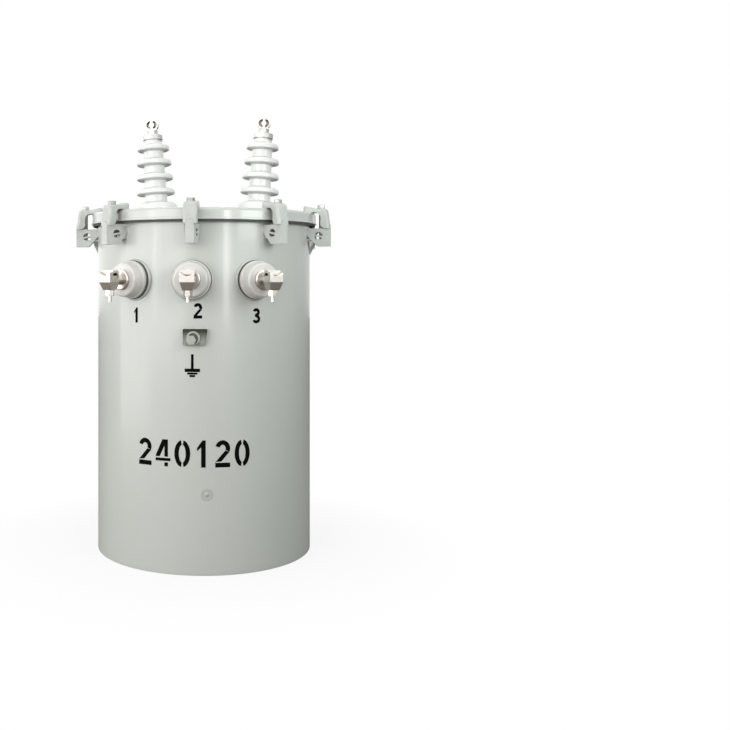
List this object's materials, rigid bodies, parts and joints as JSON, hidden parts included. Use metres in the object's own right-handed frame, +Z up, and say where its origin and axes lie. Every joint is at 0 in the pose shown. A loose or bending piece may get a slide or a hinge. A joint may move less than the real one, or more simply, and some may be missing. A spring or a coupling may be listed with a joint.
{
  "type": "pole mounted transformer",
  "caption": "Cylindrical oil-filled tank with a clamped domed cover, ribbed high voltage bushings on top, low voltage bushings with wire eyes, and hanger brackets for a pole.",
  "frame": {"origin": "centre of the tank's flat bottom, on its axis", "axes": "+Z up along the tank's axis, -Y towards the low voltage bushings, +Y towards the pole"},
  "size_m": [0.7268, 0.802, 1.2474],
  "materials": {
    "tank_paint": "semi-gloss light grey enamel",
    "clamp_paint": "semi-gloss light grey enamel on pressed steel",
    "plated_steel": "zinc plated",
    "rubber": "matt moulded",
    "core_fill": "sealed inside, not seen",
    "white_porcelain": "glossy light grey glaze",
    "lv_porcelain": "glossy off-white glaze",
    "cast_metal": "satin cast",
    "tinned_metal": "tin plated, polished",
    "bare_steel": "dull stainless"
  },
  "bodies": {
    "root": {"tank_wall": "tank_paint", "tank_bottom": "tank_paint", "tank_rim": "tank_paint", "cover": "tank_paint", "cover_gasket": "rubber", "core_and_oil": "core_fill", "clamp_ears": "tank_paint", "clamp_bolts": "plated_steel", "clamp_hook_1": "clamp_paint", "clamp_hook_2": "clamp_paint", "clamp_hook_3": "clamp_paint", "clamp_hook_4": "clamp_paint", "clamp_hook_5": "clamp_paint", "clamp_hook_6": "clamp_paint", "clamp_hook_7": "clamp_paint", "clamp_hook_8": "clamp_paint", "clamp_hook_9": "clamp_paint", "hv_gaskets": "rubber", "lv_gaskets": "rubber", "hv_bushing_left": "white_porcelain", "hv_bushing_right": "white_porcelain", "hv_cap_left": "cast_metal", "hv_cap_right": "cast_metal", "hv_terminal_left": "tinned_metal", "hv_terminal_right": "tinned_metal", "lv_bushing_1": "lv_porcelain", "lv_bushing_2": "lv_porcelain", "lv_bushing_3": "lv_porcelain", "lv_terminal_1": "tinned_metal", "lv_terminal_2": "tinned_metal", "lv_terminal_3": "tinned_metal", "lv_clamp_screw_1": "tinned_metal", "lv_clamp_screw_2": "tinned_metal", "lv_clamp_screw_3": "tinned_metal", "ground_pad": "bare_steel", "ground_bolt": "bare_steel", "lifting_lug_left": "tank_paint", "lifting_lug_right": "tank_paint", "hanger_bracket_lower": "tank_paint", "hanger_bracket_upper": "tank_paint"}
  },
  "joints": []
}
